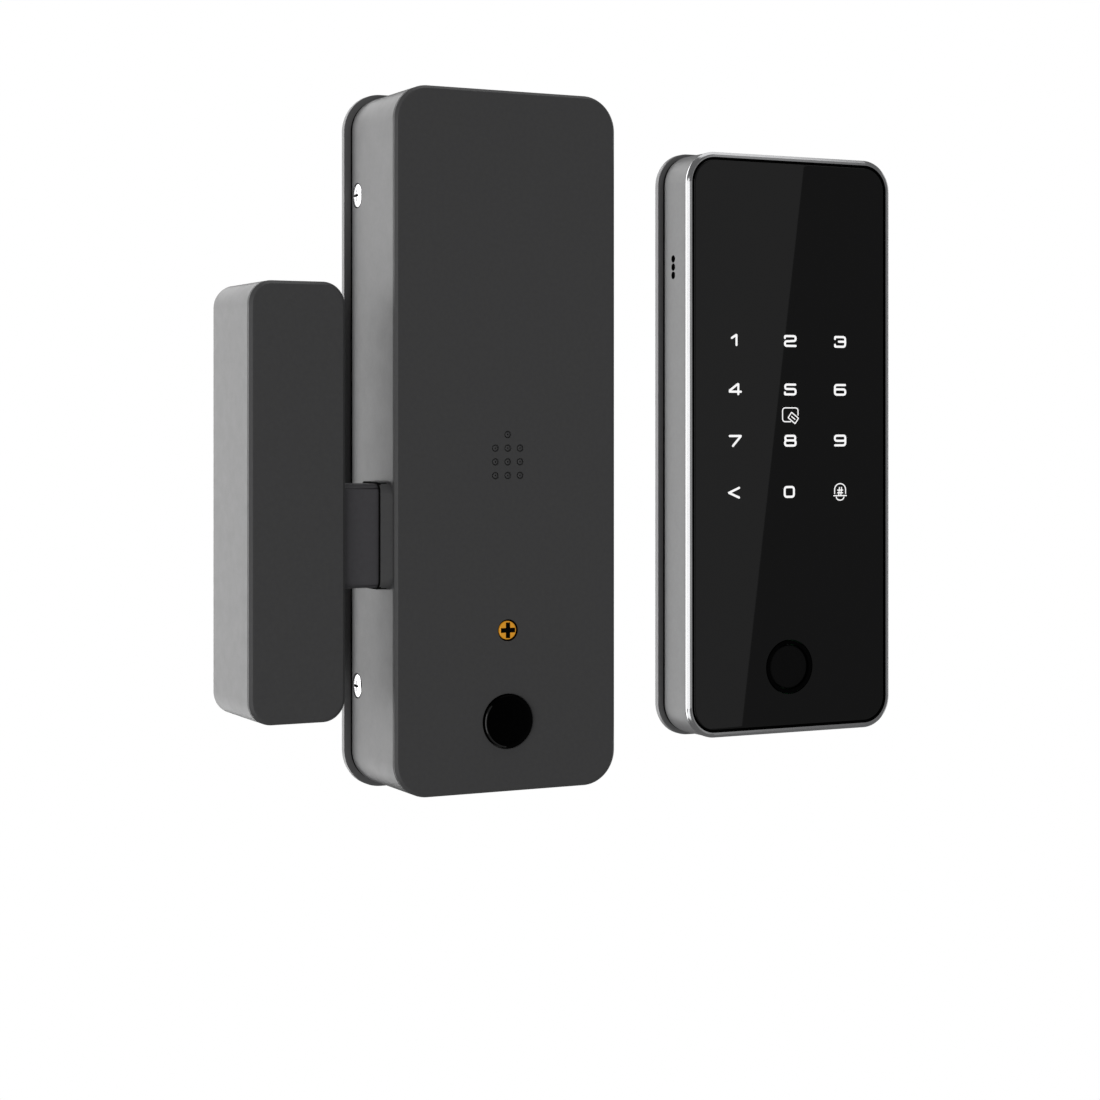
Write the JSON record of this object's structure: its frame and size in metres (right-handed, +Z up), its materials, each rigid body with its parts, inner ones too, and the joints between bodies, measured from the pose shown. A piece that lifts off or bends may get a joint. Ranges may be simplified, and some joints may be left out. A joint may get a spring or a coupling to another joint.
{
  "type": "keypad smart lock",
  "caption": "Surface-mounted electric lock: lock body with a motor bolt and push button, strike box, and slim glass keypad with fingerprint reader.",
  "frame": {"origin": "centre of the rear face of the lock body's back plate, which lies against the door", "axes": "+Y into the door, the fronts of all three units face -Y; +X to the right seen from the front, from the strike box to the keypad; +Z up"},
  "size_m": [0.2108, 0.0354, 0.1926],
  "materials": {
    "charcoal_paint": "fine satin charcoal paint",
    "steel": "zinc-plated, satin",
    "bright_metal": "bright machined metal",
    "brass": "bright brass",
    "black_gloss": "gloss black",
    "black_glass": "black-printed tempered glass, polished, opaque",
    "rubber": "matt black",
    "black_plastic": "matt black",
    "nylon": "natural nylon",
    "circuit_board": "green solder mask",
    "cell_sleeve": "plain printed sleeve",
    "copper": "bare copper colour"
  },
  "bodies": {
    "lock_body": {"lock_back_plate": "charcoal_paint", "lock_gasket": "rubber", "lock_housing": "charcoal_paint", "housing_screw_left_upper": "bright_metal", "housing_screw_left_lower": "bright_metal", "housing_screw_right_upper": "bright_metal", "housing_screw_right_lower": "bright_metal", "gear_axle": "steel", "gear_motor": "steel", "motor_strap": "steel", "mechanism_plate": "steel", "bolt_guide_upper": "nylon", "bolt_guide_lower": "nylon", "control_board": "circuit_board", "button_switch": "black_plastic", "lock_cable_socket": "nylon", "battery_1": "cell_sleeve", "battery_2": "cell_sleeve", "battery_3": "cell_sleeve", "battery_4": "cell_sleeve", "battery_tray": "black_plastic", "battery_contact_lower": "bright_metal", "battery_contact_upper": "bright_metal", "keypad_back_plate": "charcoal_paint", "keypad_gasket": "rubber", "keypad_screw_upper": "bright_metal", "keypad_screw_lower": "bright_metal"},
    "front_cover": {"lock_front_cover": "charcoal_paint", "buzzer": "black_plastic"},
    "cover_screw": {"cover_screw": "brass"},
    "unlock_button": {"unlock_button": "black_gloss"},
    "bolt": {"latch_bolt": "charcoal_paint"},
    "drive_gear": {"drive_gear": "nylon"},
    "motor_pinion": {"motor_pinion": "brass"},
    "strike": {"strike_housing": "charcoal_paint", "strike_front_cover": "charcoal_paint", "strike_mounting_plate": "steel", "strike_keeper": "steel", "strike_magnet": "bright_metal", "strike_screw_upper": "bright_metal", "strike_screw_lower": "bright_metal"},
    "keypad": {"keypad_housing": "charcoal_paint", "keypad_bezel": "bright_metal", "keypad_glass": "black_glass", "fingerprint_ring": "black_gloss", "fingerprint_sensor": "black_plastic", "touch_board": "circuit_board", "card_antenna": "copper", "keypad_speaker": "black_plastic", "keypad_cable_socket": "nylon"}
  },
  "joints": [
    {"name": "bolt_slide", "type": "slide", "parent": "lock_body", "child": "bolt", "axis": [1, 0, 0], "range_m": [0, 0.0194]},
    {"name": "drive_gear_spin", "type": "hinge", "parent": "lock_body", "child": "drive_gear", "pos_m": [0.0055, -0.0213, -0.019], "axis": [0, -1, 0], "range_deg": [0, 147]},
    {"name": "motor_pinion_spin", "type": "hinge", "parent": "lock_body", "child": "motor_pinion", "pos_m": [-0.003, -0.0164, -0.00451], "axis": [0, -1, 0], "range_deg": [-367.5, 0]},
    {"name": "button_press", "type": "slide", "parent": "lock_body", "child": "unlock_button", "axis": [0, 1, 0], "range_m": [0, 0.0012], "stiffness_N_per_m": 400, "springref_m": -0.0005},
    {"name": "cover_lift", "type": "slide", "parent": "lock_body", "child": "front_cover", "axis": [0, -1, 0], "range_m": [0, 0.06]},
    {"name": "cover_screw_turn", "type": "hinge", "parent": "front_cover", "child": "cover_screw", "pos_m": [0, -0.0345, -0.0513], "axis": [0, -1, 0], "continuous": true},
    {"name": "strike_parting", "type": "slide", "parent": "lock_body", "child": "strike", "axis": [-1, 0, 0], "range_m": [0, 0.05]},
    {"name": "keypad_lift", "type": "slide", "parent": "lock_body", "child": "keypad", "axis": [0, -1, 0], "range_m": [0, 0.03]}
  ],
  "couplings": [
    {"joint": "drive_gear_spin", "follows": "bolt_slide", "rad_per_m": 125},
    {"joint": "motor_pinion_spin", "follows": "bolt_slide", "rad_per_m": -312.5}
  ]
}
